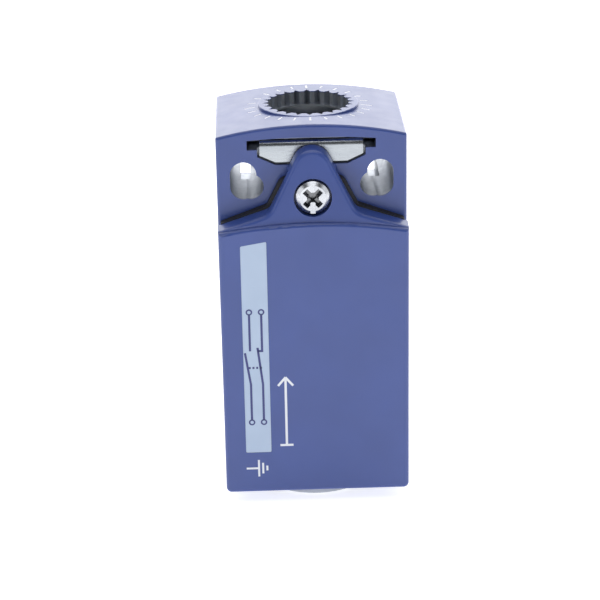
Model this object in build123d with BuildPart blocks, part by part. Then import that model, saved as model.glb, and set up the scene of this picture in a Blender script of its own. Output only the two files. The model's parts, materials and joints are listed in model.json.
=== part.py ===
from build123d import *
import os
from math import sqrt

# Compact metal limit switch body for an interchangeable operating head.
# X runs across the switch, +Y to the rear, +Z up towards the head socket, all in millimetres.
# The origin lies on the rear mounting face, midway between the fixing holes.

# ---- case ----
case_width = 31.0
case_depth = 30.0  # rear mounting face to the cover's front
crown_height = 63.15  # top of the crowned head face, above the cable end
crown_radius = 66.0  # the head face is part of a cylinder along Y
fixing_height = 52.95  # fixing holes above the cable end
seam_depth = 5.0  # housing's front face, behind the cover's front
case_edge = 0.45  # rounding of the cast edges

cavity_width = 26.4
cavity_floor = 4.2
cavity_top = 44.4
cavity_back = 27.3
cavity_corner = 1.5

# ---- cable entry, M16 x 1.5 ----
entry_depth = 13.6  # its axis behind the cover's front
entry_collar_radius = 10.6
entry_collar_length = 2.2
entry_bore_radius = 7.25  # tapping diameter
entry_lead_in = 0.5

# ---- fixing holes: an upright slot merged with a round hole on each side ----
fixing_hole_radius = 2.15
fixing_hole_x = 10.0
fixing_slot_x = 11.15
fixing_slot_length = 6.3
relief_x = 10.8  # cored relief behind the slot
relief_width = 1.8
relief_start = 15.5
relief_floor = 47.3

# ---- head socket ----
socket_depth = 18.2  # its axis behind the cover's front
ring_radius = 8.4  # flat-topped ring that carries the teeth
ring_top = 63.2
ring_edge = 0.15
tooth_count = 24
tooth_tip_radius = 6.75
tooth_root_radius = 7.7
tooth_gap_half = 0.5  # half the width of a notch at the tip circle
teeth_bottom = 61.0
socket_radius = 6.2
socket_floor = 49.2
mark_ring = 9.75  # radius of the turning scale
mark_length = 1.35
quarter_mark_length = 1.85
mark_width = 0.34
mark_depth = 0.12

# ---- head lock clip ----
clip_slot_half = 10.45
clip_slot_bottom = 59.1
clip_slot_top = 60.7
clip_slot_back = 26.0
clip_plate_bottom = 59.4
clip_plate_top = 60.55
clip_plate_half = 10.1
clip_gap_half = 4.3  # half the width between the fork's arms
clip_neck_end = 9.0  # depth where the plate widens behind the tab
clip_arm_reach = 6.4  # the arms' length behind the socket's axis
clip_arm_corner = 1.2
clip_tab_half = 8.4
clip_tab_front = 5.3
clip_tab_thickness = 1.1
clip_bend = 1.0
tab_knee_height = 58.1
tab_foot_height = 56.9
tab_foot_half = 5.85
tab_clearance = 0.4
scoop_height = 61.1  # crown of the relief above the clip slot
scoop_depth = 0.9

# ---- front cover ----
cover_back = 3.4  # rear edge of the cover's rim
plate_side_height = 46.6  # top edge of the raised main plate at its sides
plate_mid_height = 48.05
plate_step = 0.7  # depth where the tongue's outline meets the main plate
plate_edge = 0.6
plate_corner = 0.9
tongue_back = 4.85
tongue_base_height = 55.0  # below this the cover's back clears the gasket
tongue_edge = 0.7
tongue_rear_outline = dict(
    side_height=47.1, root_x=7.03, root_height=50.0, apex_height=63.67, root_round=0.9, tip_round=3.2
)
tongue_front_outline = dict(
    side_height=46.75, root_x=7.1, root_height=49.3, apex_height=63.4, root_round=3.2, tip_round=3.3
)
tongue_lean_height = 60.6
tongue_lean = 1.75  # how far the tongue's face leans back at its tip
cover_inner_front = 1.6
cover_rim_inner_half = 13.2
cover_floor = 4.0
label_left = -12.0
label_right = -7.7
label_foot = 7.5
label_head_left = 44.45
label_head_right = 45.15
label_recess = 0.08

# ---- cover screw, M3, captive ----
screw_height = 52.0
screw_head_radius = 2.75
screw_head_length = 1.85
screw_seat = 3.2
screw_recess_radius = 3.1
screw_slot_width = 0.85
screw_slot_sink = 0.55
driver_arm_width = 1.05
driver_arm_length = 3.6
driver_arm_sink = 1.35
driver_taper = 12  # the arms' walls close in towards their floor, in degrees
driver_centre_radius = 0.95
driver_centre_sink = 1.9
screw_waist_radius = 1.15
screw_thread_radius = 1.5
screw_thread_start = 7.0
screw_end = 9.6
screw_hole_end = 10.0
screw_hole_mouth = 2.15  # radii of the hole in the case, wide enough for the shank to swing out
screw_hole_waist = 1.9
screw_hole_tip = 1.85
cover_screw_hole_radius = 1.3
washer_thickness = 0.4

# ---- cover hinge ----
hinge_depth = 1.6
hinge_height = 1.4
pin_radius = 0.5
pin_inner_x = 8.9
pin_outer_x = 14.2
ear_inner_x = 11.0
ear_outer_x = 12.5
ear_eye_radius = 0.95
ear_foot = 0.55
ear_notch_front = 0.6
ear_notch_rise = 1.15

# ---- gasket ----
gasket_side_half = 15.0
gasket_bottom = 2.7
gasket_shoulder = 47.25
gasket_root = (7.45, 50.05)  # where the lobe round the cover screw begins
gasket_lobe = (5.1, 54.7)
gasket_screw_hole = 2.3
gasket_inner_half = 13.3
gasket_inner_bottom = 4.1
gasket_inner_top = 44.5

# ---- plunger ----
plunger_radius = 2.0
plunger_bottom = 43.4
plunger_top = 57.0
plunger_head_radius = 4.2
plunger_head_bottom = 55.8
running_gap = 0.05
plunger_stroke = 3.5
seal_radius = 3.4
seal_height = 1.6
seat_washer_thickness = 0.3

# ---- springs: mean radius, wire radius and turns ----
plunger_spring_wind = (2.9, 0.28, 5)
carrier_spring_wind = (1.5, 0.2, 7)
nc_contact_spring_wind = (1.1, 0.16, 3)
no_contact_spring_wind = (1.1, 0.16, 4)
spring_seat_gap = 0.02

# ---- contact block ----
block_half = 12.6
block_bottom = 14.9
block_top = 39.4
block_front = 9.2
block_split = 13.2
block_back = 27.2
chamber_half = 11.1
chamber_bottom = 18.9
chamber_top = 37.9
chamber_back = 25.4
spring_well_radius = 2.3
spring_well_floor = 16.4
block_screw_x = 9.6
block_screw_height = 27.4
block_screw_radius = 1.0
block_screw_head_radius = 1.65

# ---- contacts ----
strip_inner_x = 4.4
strip_outer_x = 8.8
strip_thickness = 0.8
strip_back = 20.6
nc_strip_height = 35.0  # underside of the break contact's strips
no_strip_height = 19.0  # underside of the make contact's strips
contact_x = 6.4
tip_radius = 1.2
tip_height = 0.6
bridge_half = 7.7
bridge_width = 3.0
bridge_thickness = 0.6
carrier_half = 2.5
carrier_depth = 6.6
carrier_bottom = 22.6
carrier_top = 37.0
stem_radius = 1.9
contact_gap = 0.03

# ---- terminals ----
terminal_x = 7.6
pad_size = 6.4
pad_front = 11.3
terminal_bay = 6.8
nc_terminal_height = 32.6
no_terminal_height = 22.2
terminal_shank_radius = 1.6
terminal_head_radius = 2.8
terminal_head_front = 8.7
clamp_front = 10.3
clamp_thickness = 0.8

# ---- earth terminal ----
earth_x = 8.9
earth_height = 9.6
earth_boss_radius = 3.3
earth_boss_front = 19.4
earth_head_radius = 3.0


def up(height):
    """Frame Z of a height above the case's cable end."""
    return height - fixing_height


def back(depth):
    """Frame Y of a depth behind the cover's front."""
    return depth - case_depth


def upright(depth):
    """Sketch plane square to Y at a depth; its normal points to the front."""
    return Plane.XZ.offset(case_depth - depth)


def level(height):
    """Sketch plane square to Z at a height."""
    return Plane.XY.offset(up(height))


def across(x=0):
    """Sketch plane square to X; local x is frame Y, local y is frame Z."""
    return Plane.YZ.offset(x)


half_width = case_width / 2
crown_drop = crown_radius - sqrt(crown_radius**2 - half_width**2)
socket_axis = (0, back(socket_depth))
notch_foot = tooth_tip_radius - 0.5  # the notches between teeth start inside the tip circle
notch_half = tooth_gap_half * (tooth_root_radius - notch_foot) / (tooth_root_radius - tooth_tip_radius)
screw_front = screw_seat - washer_thickness - screw_head_length


def arched_outline(bottom, side_height, mid_height, half=half_width):
    """Closed outline with straight sides and an arched top, for an upright sketch."""
    with BuildSketch() as outline:
        with BuildLine():
            Polyline((-half, up(side_height)), (-half, up(bottom)), (half, up(bottom)), (half, up(side_height)))
            ThreePointArc((half, up(side_height)), (0, up(mid_height)), (-half, up(side_height)))
        make_face()
    return outline.sketch_local


def tongue_outline(side_height, root_x, root_height, apex_height, root_round, tip_round):
    """Cover outline: shoulders that rise to a triangular tongue with a rounded tip."""
    with BuildSketch() as outline:
        with BuildLine():
            FilletPolyline(
                (-half_width, up(side_height)),
                (-root_x, up(root_height)),
                (0, up(apex_height)),
                (root_x, up(root_height)),
                (half_width, up(side_height)),
                radius=(root_round, tip_round, root_round),
            )
            Polyline(
                (half_width, up(side_height)),
                (half_width, up(0)),
                (-half_width, up(0)),
                (-half_width, up(side_height)),
            )
        make_face()
    return outline.sketch_local


def both_sides(x, z=0):
    """A place on each side of the middle plane, for an upright sketch."""
    return Locations((-x, z), (x, z))


def cross_recess(size, width):
    """Driver recess of four arms, for the sketch of a screw head."""
    for turn in (45, 135):
        Rectangle(size, width, rotation=turn)


def coil(wind, low, high):
    """Helical spring wire that fits between two heights, on the socket's axis."""
    radius, wire_radius, turns = wind
    low += spring_seat_gap
    high -= spring_seat_gap
    with BuildPart() as spring:
        with BuildLine() as path:
            Helix(
                pitch=(high - low - 2 * wire_radius) / turns,
                height=high - low - 2 * wire_radius,
                radius=radius,
                center=(*socket_axis, up(low) + wire_radius),
            )
        with BuildSketch(Plane(origin=path.line @ 0, z_dir=path.line % 0)):
            Circle(wire_radius)
        sweep(path=path.line, is_frenet=True)
    return spring


# ---------------------------------------------------------------- grooves of the turning scale
with BuildPart() as scale_grooves:
    with BuildSketch(level(crown_height)):
        with Locations(socket_axis):
            with PolarLocations(mark_ring, tooth_count):
                Rectangle(mark_length, mark_width)
            with PolarLocations(mark_ring, 4):
                Rectangle(quarter_mark_length, mark_width)
    extrude(amount=-crown_drop)
    with BuildSketch(upright(case_depth)):
        add(arched_outline(0, crown_height - crown_drop - mark_depth, crown_height - mark_depth))
    extrude(amount=case_depth, mode=Mode.SUBTRACT)

# ---------------------------------------------------------------- housing
with BuildPart() as housing:
    # cast block with the crowned head face
    with BuildSketch(upright(case_depth)):
        add(arched_outline(0, crown_height - crown_drop, crown_height))
    extrude(amount=case_depth - seam_depth)
    fillet(housing.edges(), case_edge)

    # contact and wiring space, open to the front
    with BuildSketch(upright(cavity_back)):
        with Locations((0, up((cavity_floor + cavity_top) / 2))):
            RectangleRounded(cavity_width, cavity_top - cavity_floor, cavity_corner)
    extrude(amount=cavity_back - seam_depth, mode=Mode.SUBTRACT)

    # cable-entry collar and its bore
    with BuildSketch(level(-entry_collar_length)):
        with Locations((0, back(entry_depth))):
            Circle(entry_collar_radius)
    extrude(amount=entry_collar_length)
    chamfer(housing.edges().group_by(Axis.Z)[0], case_edge)
    with BuildSketch(level(-entry_collar_length)):
        with Locations((0, back(entry_depth))):
            Circle(entry_bore_radius)
    extrude(amount=entry_collar_length + cavity_floor, mode=Mode.SUBTRACT)
    chamfer(housing.edges().group_by(Axis.Z)[0].sort_by(SortBy.RADIUS)[0], entry_lead_in)

    # flat ring round the head socket, and the teeth inside it
    with BuildSketch(level(socket_floor)):
        with Locations(socket_axis):
            Circle(ring_radius)
    extrude(amount=ring_top - socket_floor)
    fillet(housing.edges().filter_by(GeomType.CIRCLE).group_by(Axis.Z)[-1], ring_edge)
    with BuildSketch(level(teeth_bottom)):
        with Locations(socket_axis):
            Circle(tooth_tip_radius)
            with PolarLocations(0, tooth_count):
                Polygon(
                    (notch_foot, -notch_half),
                    (tooth_root_radius, 0),
                    (notch_foot, notch_half),
                    align=None,
                )
    extrude(amount=ring_top - teeth_bottom, mode=Mode.SUBTRACT)
    add(scale_grooves.part, mode=Mode.SUBTRACT)
    with BuildSketch(level(socket_floor)):
        with Locations(socket_axis):
            Circle(socket_radius)
    extrude(amount=teeth_bottom - socket_floor, mode=Mode.SUBTRACT)

    # plunger guide with the seal's seat in the socket floor
    with BuildSketch(level(cavity_top)):
        with Locations(socket_axis):
            Circle(plunger_radius + running_gap)
    extrude(amount=socket_floor - cavity_top, mode=Mode.SUBTRACT)
    with BuildSketch(level(socket_floor - seal_height)):
        with Locations(socket_axis):
            Circle(seal_radius)
    extrude(amount=seal_height, mode=Mode.SUBTRACT)

    # slot for the head lock clip, pocket for its tab and the relief above it
    with BuildSketch(upright(clip_slot_back)):
        with Locations((0, up((clip_slot_bottom + clip_slot_top) / 2))):
            Rectangle(2 * clip_slot_half, clip_slot_top - clip_slot_bottom)
    extrude(amount=clip_slot_back - seam_depth, mode=Mode.SUBTRACT)
    with BuildSketch(upright(clip_tab_front + clip_tab_thickness + tab_clearance / 2)):
        with BuildLine():
            Polyline(
                (-clip_tab_half - tab_clearance, up(clip_slot_top)),
                (-clip_tab_half - tab_clearance, up(tab_knee_height - tab_clearance / 2)),
                (-tab_foot_half, up(tab_foot_height - tab_clearance)),
                (tab_foot_half, up(tab_foot_height - tab_clearance)),
                (clip_tab_half + tab_clearance, up(tab_knee_height - tab_clearance / 2)),
                (clip_tab_half + tab_clearance, up(clip_slot_top)),
                close=True,
            )
        make_face()
    extrude(amount=clip_tab_thickness + 1, mode=Mode.SUBTRACT)
    with BuildSketch(upright(seam_depth + scoop_depth)):
        with BuildLine():
            ThreePointArc(
                (-clip_slot_half, up(clip_slot_top)),
                (0, up(scoop_height)),
                (clip_slot_half, up(clip_slot_top)),
            )
            Line((clip_slot_half, up(clip_slot_top)), (-clip_slot_half, up(clip_slot_top)))
        make_face()
    extrude(amount=scoop_depth, mode=Mode.SUBTRACT)

    # fixing holes with the cored relief behind each
    with BuildSketch(upright(case_depth)):
        slot_rise = (fixing_slot_length - 2 * fixing_hole_radius) / 2
        with both_sides(fixing_slot_x, slot_rise):
            SlotOverall(fixing_slot_length, 2 * fixing_hole_radius, rotation=90)
        with both_sides(fixing_hole_x):
            Circle(fixing_hole_radius)
    extrude(amount=case_depth - seam_depth, mode=Mode.SUBTRACT)
    with BuildSketch(upright(case_depth)):
        with both_sides(relief_x, (up(relief_floor) + slot_rise) / 2):
            Rectangle(relief_width, slot_rise - up(relief_floor))
    extrude(amount=case_depth - relief_start, mode=Mode.SUBTRACT)

    # hole for the cover screw
    with BuildSketch(across()):
        with BuildLine():
            Polyline(
                (back(seam_depth), up(screw_height)),
                (back(seam_depth), up(screw_height) + screw_hole_mouth),
                (back(screw_thread_start), up(screw_height) + screw_hole_waist),
                (back(screw_hole_end), up(screw_height) + screw_hole_tip),
                (back(screw_hole_end), up(screw_height)),
                close=True,
            )
        make_face()
    revolve(axis=Axis((0, 0, up(screw_height)), (0, 1, 0)), mode=Mode.SUBTRACT)

    # hinge ears that reach into the cover's lower edge
    for side in (-1, 1):
        with BuildSketch(across(side * (ear_inner_x + ear_outer_x) / 2)):
            with Locations((back(hinge_depth), up(hinge_height))):
                Circle(ear_eye_radius)
            with BuildLine():
                Polyline(
                    (back(hinge_depth), up(hinge_height - ear_foot)),
                    (back(seam_depth), up(hinge_height - ear_foot)),
                    (back(seam_depth) + 0.5, up(hinge_height)),
                    (back(seam_depth), up(hinge_height + ear_eye_radius)),
                    (back(hinge_depth), up(hinge_height + ear_eye_radius)),
                    close=True,
                )
            make_face()
        extrude(amount=(ear_outer_x - ear_inner_x) / 2, both=True)
    with BuildSketch(across()):
        with Locations((back(hinge_depth), up(hinge_height))):
            Circle(pin_radius)
    extrude(amount=ear_outer_x + 0.5, both=True, mode=Mode.SUBTRACT)

    # earth terminal boss and the blind holes of the block screws
    with BuildSketch(upright(cavity_back)):
        with Locations((earth_x, up(earth_height))):
            Circle(earth_boss_radius)
    extrude(amount=cavity_back - earth_boss_front)
    with BuildSketch(upright(cavity_back)):
        with Locations((earth_x, up(earth_height))):
            Circle(terminal_shank_radius + running_gap)
    extrude(amount=cavity_back - earth_boss_front, mode=Mode.SUBTRACT)
    with BuildSketch(upright(cavity_back + 2)):
        with both_sides(block_screw_x, up(block_screw_height)):
            Circle(block_screw_radius + running_gap)
    extrude(amount=2, mode=Mode.SUBTRACT)

housing.part.label = "housing"

# ---------------------------------------------------------------- front cover
with BuildPart() as front_cover:
    # shoulders and tongue, with drafted sides
    with BuildSketch(upright(tongue_back)):
        add(tongue_outline(**tongue_rear_outline))
    with BuildSketch(upright(plate_step)):
        add(tongue_outline(**tongue_front_outline))
    loft(ruled=True)
    # the tongue's face leans back towards its tip
    with BuildSketch(across()):
        with BuildLine():
            Polyline(
                (back(plate_step), up(plate_mid_height - 0.3)),
                (back(plate_step + tongue_lean), up(tongue_lean_height)),
                (back(plate_step) - 1, up(tongue_lean_height)),
                (back(plate_step) - 1, up(plate_mid_height - 0.3)),
                close=True,
            )
        make_face()
    extrude(amount=half_width, both=True, mode=Mode.SUBTRACT)
    tongue_face = front_cover.faces().filter_by(GeomType.PLANE).filter_by(
        lambda face: 0 < face.normal_at().Z < 0.5 and face.normal_at().Y < -0.5
    ).sort_by(SortBy.AREA)[-1]
    fillet(tongue_face.edges().filter_by(lambda edge: edge.center().Z > up(plate_mid_height + 1)), tongue_edge)

    # only the tongue's tip reaches back to the head block
    with BuildSketch(upright(tongue_back)):
        with Locations((0, up(tongue_base_height / 2))):
            Rectangle(case_width + 2, tongue_base_height + 2)
    extrude(amount=tongue_back - cover_back, mode=Mode.SUBTRACT)

    # raised main plate
    with BuildSketch(upright(cover_back)):
        add(arched_outline(0, plate_side_height, plate_mid_height))
    extrude(amount=cover_back)
    fillet(front_cover.edges().filter_by(Axis.Y).group_by(Axis.Z)[0], plate_corner)
    fillet(front_cover.faces().sort_by(Axis.Y)[0].edges(), plate_edge)

    # shallow bed of the label
    with BuildSketch(upright(label_recess)):
        with BuildLine():
            Polyline(
                (label_left, up(label_foot)),
                (label_right, up(label_foot)),
                (label_right, up(label_head_right)),
                (label_left, up(label_head_left)),
                close=True,
            )
        make_face()
    extrude(amount=label_recess, mode=Mode.SUBTRACT)

    # hollow behind the plate
    with BuildSketch(upright(cover_back)):
        with Locations((0, up((cover_floor + cavity_top) / 2))):
            RectangleRounded(2 * cover_rim_inner_half, cavity_top - cover_floor, cavity_corner)
    extrude(amount=cover_back - cover_inner_front, mode=Mode.SUBTRACT)

    # screw recess and the hole that keeps the screw captive
    with BuildSketch(upright(screw_seat)):
        with Locations((0, up(screw_height))):
            Circle(screw_recess_radius)
    extrude(amount=screw_seat, mode=Mode.SUBTRACT)
    with BuildSketch(upright(tongue_back)):
        with Locations((0, up(screw_height))):
            Circle(cover_screw_hole_radius)
    extrude(amount=tongue_back, mode=Mode.SUBTRACT)

    # hinge: notches for the housing's ears and bores for the pins
    for side in (-1, 1):
        notch_x = side * (ear_inner_x + ear_outer_x) / 2
        with BuildSketch(across(notch_x)):
            with BuildLine():
                Polyline(
                    (back(ear_notch_front), up(-1)),
                    (back(ear_notch_front), up(hinge_height + ear_notch_rise / 2)),
                    (back(hinge_depth), up(hinge_height + ear_notch_rise)),
                    (back(cover_back) + 1, up(hinge_height + ear_notch_rise)),
                    (back(cover_back) + 1, up(-1)),
                    close=True,
                )
            make_face()
        extrude(amount=(ear_outer_x - ear_inner_x) / 2 + 0.2, both=True, mode=Mode.SUBTRACT)
        with BuildSketch(across(side * (pin_inner_x + pin_outer_x) / 2)):
            with Locations((back(hinge_depth), up(hinge_height))):
                Circle(pin_radius + running_gap)
        extrude(amount=(pin_outer_x - pin_inner_x) / 2 + 0.1, both=True, mode=Mode.SUBTRACT)

front_cover.part.label = "front_cover"

# ---------------------------------------------------------------- cover gasket
with BuildPart() as cover_gasket:
    with BuildSketch(upright(seam_depth)):
        with BuildLine():
            FilletPolyline(
                (-gasket_side_half, up(gasket_shoulder)),
                (-gasket_root[0], up(gasket_root[1])),
                (-gasket_lobe[0], up(gasket_lobe[1])),
                (gasket_lobe[0], up(gasket_lobe[1])),
                (gasket_root[0], up(gasket_root[1])),
                (gasket_side_half, up(gasket_shoulder)),
                radius=(0.8, 1.5, 1.5, 0.8),
            )
            Polyline(
                (gasket_side_half, up(gasket_shoulder)),
                (gasket_side_half, up(gasket_bottom)),
                (-gasket_side_half, up(gasket_bottom)),
                (-gasket_side_half, up(gasket_shoulder)),
            )
        make_face()
        with Locations((0, up((gasket_inner_bottom + gasket_inner_top) / 2))):
            RectangleRounded(
                2 * gasket_inner_half, gasket_inner_top - gasket_inner_bottom, cavity_corner, mode=Mode.SUBTRACT
            )
        with Locations((0, up(screw_height))):
            Circle(gasket_screw_hole, mode=Mode.SUBTRACT)
    extrude(amount=seam_depth - cover_back)
cover_gasket.part.label = "cover_gasket"

# ---------------------------------------------------------------- cover screw and washer
with BuildPart() as cover_screw:
    with BuildSketch(across()):
        with BuildLine():
            Polyline(
                (back(screw_end), up(screw_height)),
                (back(screw_end), up(screw_height) + screw_thread_radius - 0.4),
                (back(screw_end - 0.4), up(screw_height) + screw_thread_radius),
                (back(screw_thread_start), up(screw_height) + screw_thread_radius),
                (back(screw_thread_start - 0.3), up(screw_height) + screw_waist_radius),
                (back(screw_seat - washer_thickness), up(screw_height) + screw_waist_radius),
                (back(screw_seat - washer_thickness), up(screw_height) + screw_head_radius),
                (back(screw_front + 0.5), up(screw_height) + screw_head_radius),
                (back(screw_front), up(screw_height) + screw_head_radius - 0.6),
                (back(screw_front), up(screw_height)),
                close=True,
            )
        make_face()
    revolve(axis=Axis((0, 0, up(screw_height)), (0, 1, 0)))
    # combined drive: a cross with a deep centre, and a slot right across the head
    with BuildSketch(upright(screw_front + screw_slot_sink)):
        with Locations((0, up(screw_height))):
            Rectangle(screw_slot_width, 2 * screw_head_radius + 1)
    extrude(amount=2, mode=Mode.SUBTRACT)
    with BuildSketch(upright(screw_front)):
        with Locations((0, up(screw_height))):
            cross_recess(driver_arm_length, driver_arm_width)
    extrude(amount=-driver_arm_sink, taper=driver_taper, mode=Mode.SUBTRACT)
    with BuildSketch(upright(screw_front)):
        with Locations((0, up(screw_height))):
            Circle(driver_centre_radius)
    extrude(amount=-driver_centre_sink, taper=driver_taper, mode=Mode.SUBTRACT)
cover_screw.part.label = "cover_screw"

with BuildPart() as cover_screw_washer:
    with BuildSketch(upright(screw_seat)):
        with Locations((0, up(screw_height))):
            Circle(screw_head_radius - 0.1)
            Circle(screw_waist_radius + running_gap, mode=Mode.SUBTRACT)
    extrude(amount=washer_thickness)
cover_screw_washer.part.label = "cover_screw_washer"

# ---------------------------------------------------------------- hinge pins
with BuildPart() as cover_hinge_pins:
    for side in (-1, 1):
        with BuildSketch(across(side * (pin_inner_x + pin_outer_x) / 2)):
            with Locations((back(hinge_depth), up(hinge_height))):
                Circle(pin_radius)
        extrude(amount=(pin_outer_x - pin_inner_x) / 2, both=True)
cover_hinge_pins.part.label = "cover_hinge_pins"

# ---------------------------------------------------------------- head lock clip
with BuildPart() as head_lock_clip:
    # fork plate: narrow neck behind the tab, two arms that pass beside the head's spigot
    with BuildSketch(level(clip_plate_bottom)):
        plate_front = clip_tab_front + clip_tab_thickness / 2
        arm_end = socket_depth + clip_arm_reach
        with BuildLine():
            Polyline(
                (-clip_tab_half, back(plate_front)),
                (-clip_tab_half, back(clip_neck_end)),
                (-clip_plate_half, back(clip_neck_end)),
                (-clip_plate_half, back(arm_end - clip_arm_corner)),
                (-clip_plate_half + clip_arm_corner, back(arm_end)),
                (-clip_gap_half, back(arm_end)),
                (-clip_gap_half, back(socket_depth)),
            )
            ThreePointArc(
                (-clip_gap_half, back(socket_depth)),
                (0, back(socket_depth - clip_gap_half)),
                (clip_gap_half, back(socket_depth)),
            )
            Polyline(
                (clip_gap_half, back(socket_depth)),
                (clip_gap_half, back(arm_end)),
                (clip_plate_half - clip_arm_corner, back(arm_end)),
                (clip_plate_half, back(arm_end - clip_arm_corner)),
                (clip_plate_half, back(clip_neck_end)),
                (clip_tab_half, back(clip_neck_end)),
                (clip_tab_half, back(plate_front)),
                (-clip_tab_half, back(plate_front)),
            )
        make_face()
    extrude(amount=clip_plate_top - clip_plate_bottom)
    # pull tab, bent down over the front of the head block
    with BuildSketch(upright(clip_tab_front + clip_tab_thickness)):
        with BuildLine():
            Polyline(
                (-clip_tab_half, up(clip_plate_top)),
                (-clip_tab_half, up(tab_knee_height)),
                (-tab_foot_half, up(tab_foot_height)),
                (tab_foot_half, up(tab_foot_height)),
                (clip_tab_half, up(tab_knee_height)),
                (clip_tab_half, up(clip_plate_top)),
                close=True,
            )
        make_face()
    extrude(amount=clip_tab_thickness)
    outer_bend = head_lock_clip.edges().filter_by(Axis.X).group_by(Axis.Z)[-1].sort_by(Axis.Y)[0]
    fillet(outer_bend, clip_bend)
head_lock_clip.part.label = "head_lock_clip"

# ---------------------------------------------------------------- plunger, its seal and washer
with BuildPart() as plunger:
    with BuildSketch(level(plunger_bottom)):
        with Locations(socket_axis):
            Circle(plunger_radius)
    extrude(amount=plunger_top - plunger_bottom)
    with BuildSketch(level(plunger_head_bottom)):
        with Locations(socket_axis):
            Circle(plunger_head_radius)
    extrude(amount=plunger_top - plunger_head_bottom)
    fillet(plunger.edges().group_by(Axis.Z)[-1], 0.5)
    chamfer(plunger.edges().group_by(Axis.Z)[0], 0.3)
plunger.part.label = "plunger"

with BuildPart() as plunger_seal:
    with BuildSketch(level(socket_floor - seal_height)):
        with Locations(socket_axis):
            Circle(seal_radius)
            Circle(plunger_radius + running_gap, mode=Mode.SUBTRACT)
    extrude(amount=seal_height)
plunger_seal.part.label = "plunger_seal"

with BuildPart() as spring_seat_washer:
    with BuildSketch(level(socket_floor)):
        with Locations(socket_axis):
            Circle(plunger_head_radius)
            Circle(plunger_radius + 2 * running_gap, mode=Mode.SUBTRACT)
    extrude(amount=seat_washer_thickness)
spring_seat_washer.part.label = "spring_seat_washer"

# ---------------------------------------------------------------- springs
plunger_spring = coil(plunger_spring_wind, socket_floor + seat_washer_thickness, plunger_head_bottom)
plunger_spring.part.label = "plunger_spring"

carrier_spring = coil(carrier_spring_wind, spring_well_floor, carrier_bottom)
carrier_spring.part.label = "carrier_spring"

# ---------------------------------------------------------------- contact block
with BuildPart() as contact_block_base:
    # rear half: chamber for the moving contacts
    with BuildSketch(upright(block_back)):
        with Locations((0, up((block_bottom + block_top) / 2))):
            RectangleRounded(2 * block_half, block_top - block_bottom, 0.8)
    extrude(amount=block_back - block_split)
    with BuildSketch(upright(chamber_back)):
        with Locations((0, up((chamber_bottom + chamber_top) / 2))):
            Rectangle(2 * chamber_half, chamber_top - chamber_bottom)
    extrude(amount=chamber_back - block_split, mode=Mode.SUBTRACT)
    with BuildSketch(level(chamber_top)):
        with Locations(socket_axis):
            Circle(stem_radius + running_gap)
    extrude(amount=block_top - chamber_top, mode=Mode.SUBTRACT)
    with BuildSketch(level(spring_well_floor)):
        with Locations(socket_axis):
            Circle(spring_well_radius)
    extrude(amount=chamber_bottom - spring_well_floor, mode=Mode.SUBTRACT)
    # pillars of the fixing screws
    with BuildSketch(upright(chamber_back)):
        with both_sides(block_screw_x, up(block_screw_height)):
            Rectangle(3.2, 3.2)
    extrude(amount=chamber_back - block_split)
    with BuildSketch(upright(block_back)):
        with both_sides(block_screw_x, up(block_screw_height)):
            Circle(block_screw_radius + running_gap)
    extrude(amount=block_back - block_split, mode=Mode.SUBTRACT)
contact_block_base.part.label = "contact_block_base"

with BuildPart() as contact_block_cover:
    # front half: a plate with four terminal bays
    with BuildSketch(upright(block_split)):
        with Locations((0, up((block_bottom + block_top) / 2))):
            RectangleRounded(2 * block_half, block_top - block_bottom, 0.8)
    extrude(amount=block_split - block_front)
    fillet(contact_block_cover.faces().sort_by(Axis.Y)[0].edges(), 0.4)
    with BuildSketch(upright(pad_front + strip_thickness)):
        for terminal_height in (nc_terminal_height, no_terminal_height):
            with both_sides(terminal_x, up(terminal_height)):
                Rectangle(terminal_bay, terminal_bay)
    extrude(amount=pad_front + strip_thickness - block_front, mode=Mode.SUBTRACT)
    # holes for the screw ends and slots for the contact strips
    with BuildSketch(upright(block_split)):
        for terminal_height in (nc_terminal_height, no_terminal_height):
            with both_sides(terminal_x, up(terminal_height)):
                Circle(terminal_shank_radius + 0.3)
        for strip_height in (nc_strip_height, no_strip_height):
            with both_sides((strip_inner_x + strip_outer_x) / 2, up(strip_height + strip_thickness / 2)):
                Rectangle(strip_outer_x - strip_inner_x + 0.1, strip_thickness + 0.1)
    extrude(amount=block_split - pad_front - strip_thickness, mode=Mode.SUBTRACT)
    # wire entries from below each bay and the seats of the fixing screws
    with BuildSketch(level(block_bottom)):
        with Locations((-block_half, back(10.4)), (block_half, back(10.4))):
            Rectangle(3.4, 2.4)
    extrude(amount=nc_terminal_height - block_bottom, mode=Mode.SUBTRACT)
    with BuildSketch(upright(block_front + 1.9)):
        with both_sides(block_screw_x, up(block_screw_height)):
            Circle(block_screw_head_radius + 0.1)
    extrude(amount=1.9, mode=Mode.SUBTRACT)
    with BuildSketch(upright(block_split)):
        with both_sides(block_screw_x, up(block_screw_height)):
            Circle(block_screw_radius + running_gap)
    extrude(amount=block_split - block_front, mode=Mode.SUBTRACT)
contact_block_cover.part.label = "contact_block_cover"

with BuildPart() as contact_block_screws:
    with BuildSketch(upright(cavity_back + 1.8)):
        with both_sides(block_screw_x, up(block_screw_height)):
            Circle(block_screw_radius)
    extrude(amount=cavity_back + 1.8 - block_front - 1.9)
    with BuildSketch(upright(block_front + 1.9)):
        with both_sides(block_screw_x, up(block_screw_height)):
            Circle(block_screw_head_radius)
    extrude(amount=1.6)
    with BuildSketch(upright(block_front + 1.2)):
        with both_sides(block_screw_x, up(block_screw_height)):
            cross_recess(2.1, 0.5)
    extrude(amount=1, mode=Mode.SUBTRACT)
contact_block_screws.part.label = "contact_block_screws"

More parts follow.
